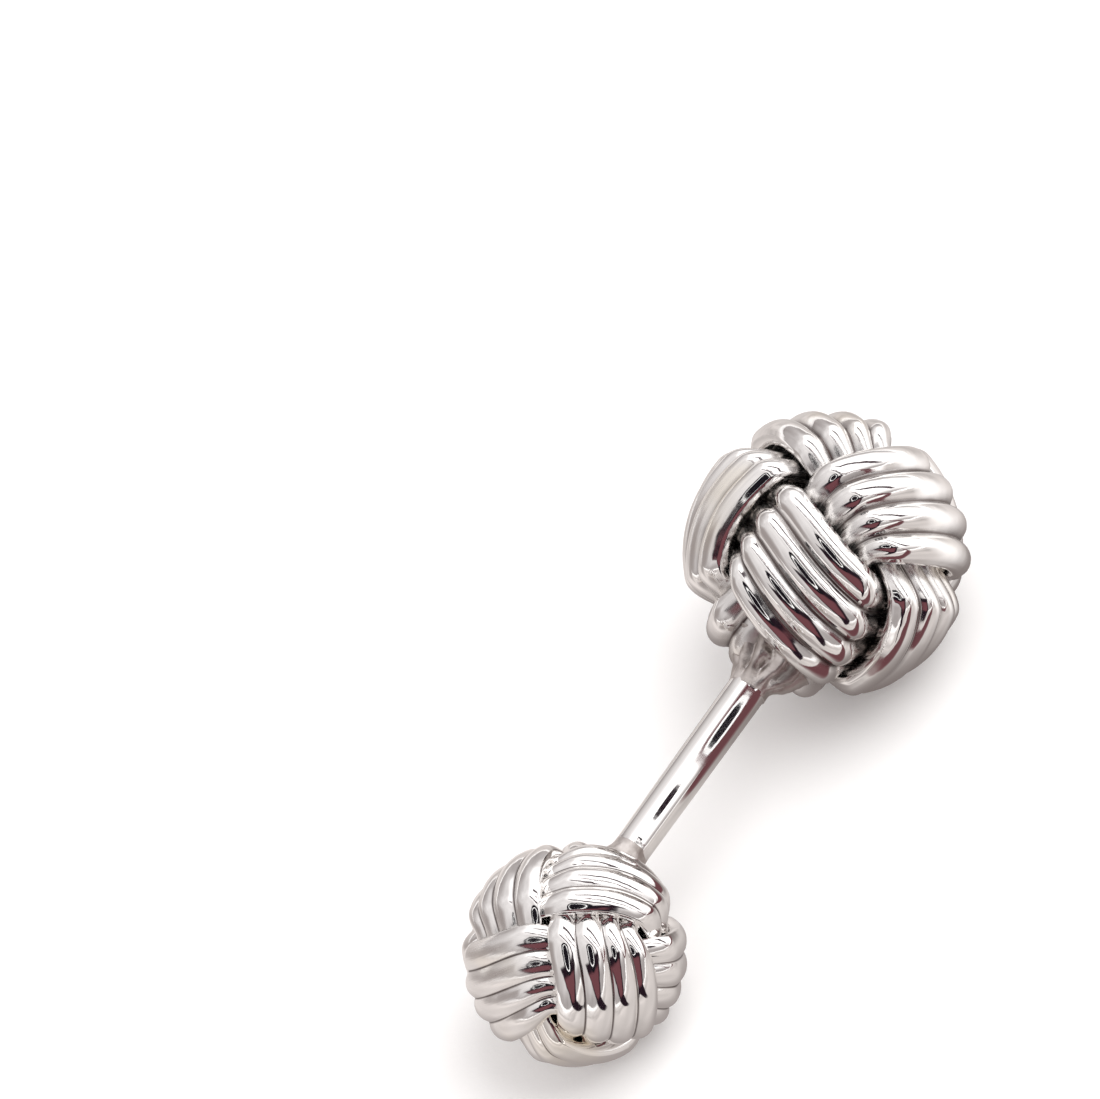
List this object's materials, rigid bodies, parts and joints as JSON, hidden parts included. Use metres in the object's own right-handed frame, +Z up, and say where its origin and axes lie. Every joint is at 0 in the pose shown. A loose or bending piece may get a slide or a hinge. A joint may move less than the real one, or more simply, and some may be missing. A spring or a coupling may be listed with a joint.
{
  "type": "knot cufflink",
  "caption": "Rigid cufflink with a large woven knot ball and a small one at the ends of a slim round post, each band of the knots made of half-round ribs.",
  "frame": {"origin": "on the surface that the cufflink lies on, under the middle of the whole link", "axes": "+X from the large knot to the small knot, +Z up from the surface"},
  "size_m": [0.0312, 0.012, 0.0118],
  "materials": {
    "knot_metal": "polished white metal, duller in the grooves",
    "post_metal": "mirror-polished white metal, matte where it is soldered"
  },
  "bodies": {
    "root": {"front_knot": "knot_metal", "back_knot": "knot_metal", "post": "post_metal"}
  },
  "joints": []
}
